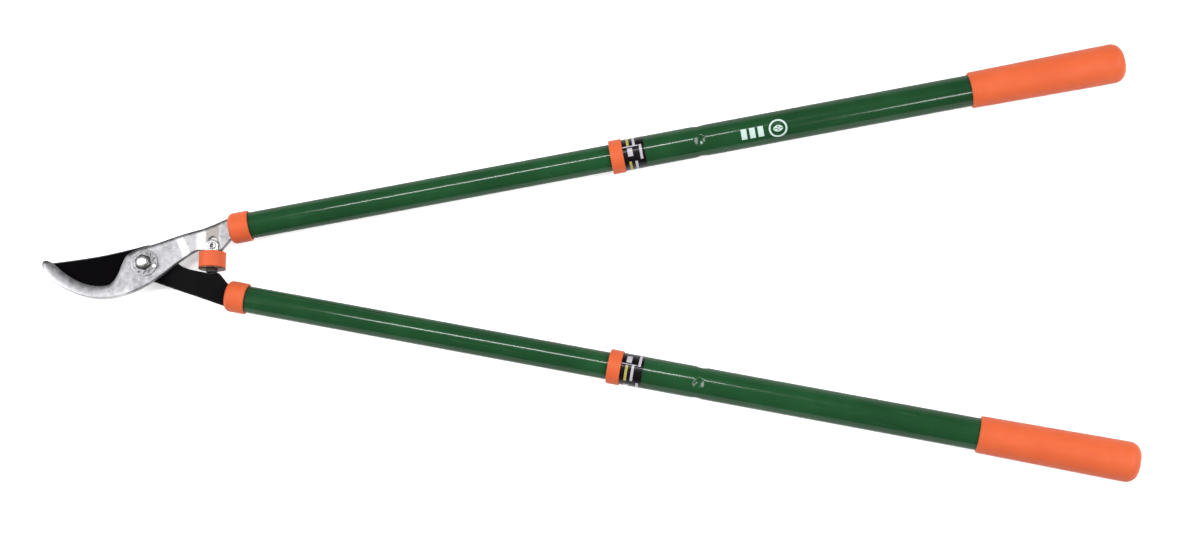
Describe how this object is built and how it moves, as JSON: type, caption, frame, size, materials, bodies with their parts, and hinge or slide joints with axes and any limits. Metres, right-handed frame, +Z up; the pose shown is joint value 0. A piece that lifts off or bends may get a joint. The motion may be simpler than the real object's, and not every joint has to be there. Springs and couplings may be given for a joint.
{
  "type": "bypass loppers",
  "caption": "Long-handled bypass loppers with a hooked counter blade, a dark cutting blade, a shock bumper and twist-lock telescopic tube handles with moulded grips.",
  "frame": {"origin": "middle of the footprint's bounding box, on the surface that the grips rest on", "axes": "+X from the jaw tip to the grips along the line of symmetry of the handles, +Y towards the hook arm, +Z up from the surface, with the hook plate above the cutting blade"},
  "size_m": [1.008, 0.4026, 0.0366],
  "materials": {
    "steel": "satin forged and ground steel",
    "blade_black": "satin non-stick coating",
    "hardware": "bright zinc plate",
    "dark_hardware": "dark oxide",
    "orange": "satin moulded, fine grain",
    "green_paint": "gloss powder coat",
    "nylon": "moulded nylon",
    "black_rubber": "matt rubber",
    "label_print": "gloss printed film"
  },
  "bodies": {
    "hook_arm": {"hook_blade": "steel", "pivot_bolt": "hardware", "pivot_nut": "hardware", "pivot_washer": "hardware", "lock_plate": "hardware", "lock_screw": "hardware", "blade_washer": "hardware", "bumper_bracket": "hardware", "bumper_rivet": "hardware", "bumper": "orange", "bumper_washer": "dark_hardware", "bumper_foot": "black_rubber", "upper_ferrule": "orange", "upper_tang_plug": "nylon", "upper_tang_pin": "hardware", "upper_inner_tube": "green_paint", "upper_lock_stud": "nylon"},
    "blade_arm": {"cutting_blade": "blade_black", "lower_ferrule": "orange", "lower_tang_plug": "nylon", "lower_tang_pin": "hardware", "lower_inner_tube": "green_paint", "lower_lock_stud": "nylon"},
    "upper_lock": {"upper_lock_sleeve": "nylon"},
    "upper_wedge": {"upper_lock_cone": "dark_hardware"},
    "upper_handle": {"upper_outer_tube": "green_paint", "upper_guide_bush": "nylon", "upper_collar": "orange", "upper_label": "label_print", "upper_grip": "orange"},
    "lower_lock": {"lower_lock_sleeve": "nylon"},
    "lower_wedge": {"lower_lock_cone": "dark_hardware"},
    "lower_handle": {"lower_outer_tube": "green_paint", "lower_guide_bush": "nylon", "lower_collar": "orange", "lower_label": "label_print", "lower_grip": "orange"}
  },
  "joints": [
    {"name": "jaw_pivot", "type": "hinge", "parent": "hook_arm", "child": "blade_arm", "pos_m": [-0.405, -0.0015, 0.0183], "axis": [0, 0, -1], "range_deg": [0, 60]},
    {"name": "upper_twist", "type": "hinge", "parent": "hook_arm", "child": "upper_lock", "pos_m": [0.12, 0.11426, 0.0183], "axis": [0.9833, 0.1822, 0], "range_deg": [-180, 0]},
    {"name": "upper_wedge_travel", "type": "slide", "parent": "hook_arm", "child": "upper_wedge", "axis": [0.9833, 0.1822, 0], "range_m": [0, 0.001]},
    {"name": "upper_extension", "type": "slide", "parent": "upper_lock", "child": "upper_handle", "axis": [0.9833, 0.1822, 0], "range_m": [-0.33, 0]},
    {"name": "lower_twist", "type": "hinge", "parent": "blade_arm", "child": "lower_lock", "pos_m": [0.12, -0.11426, 0.0183], "axis": [0.9833, -0.1822, 0], "range_deg": [-180, 0]},
    {"name": "lower_wedge_travel", "type": "slide", "parent": "blade_arm", "child": "lower_wedge", "axis": [0.9833, -0.1822, 0], "range_m": [0, 0.001]},
    {"name": "lower_extension", "type": "slide", "parent": "lower_lock", "child": "lower_handle", "axis": [0.9833, -0.1822, 0], "range_m": [-0.33, 0]}
  ],
  "couplings": [
    {"joint": "upper_wedge_travel", "follows": "upper_twist", "m_per_rad": -0.000318},
    {"joint": "lower_wedge_travel", "follows": "lower_twist", "m_per_rad": -0.000318}
  ]
}
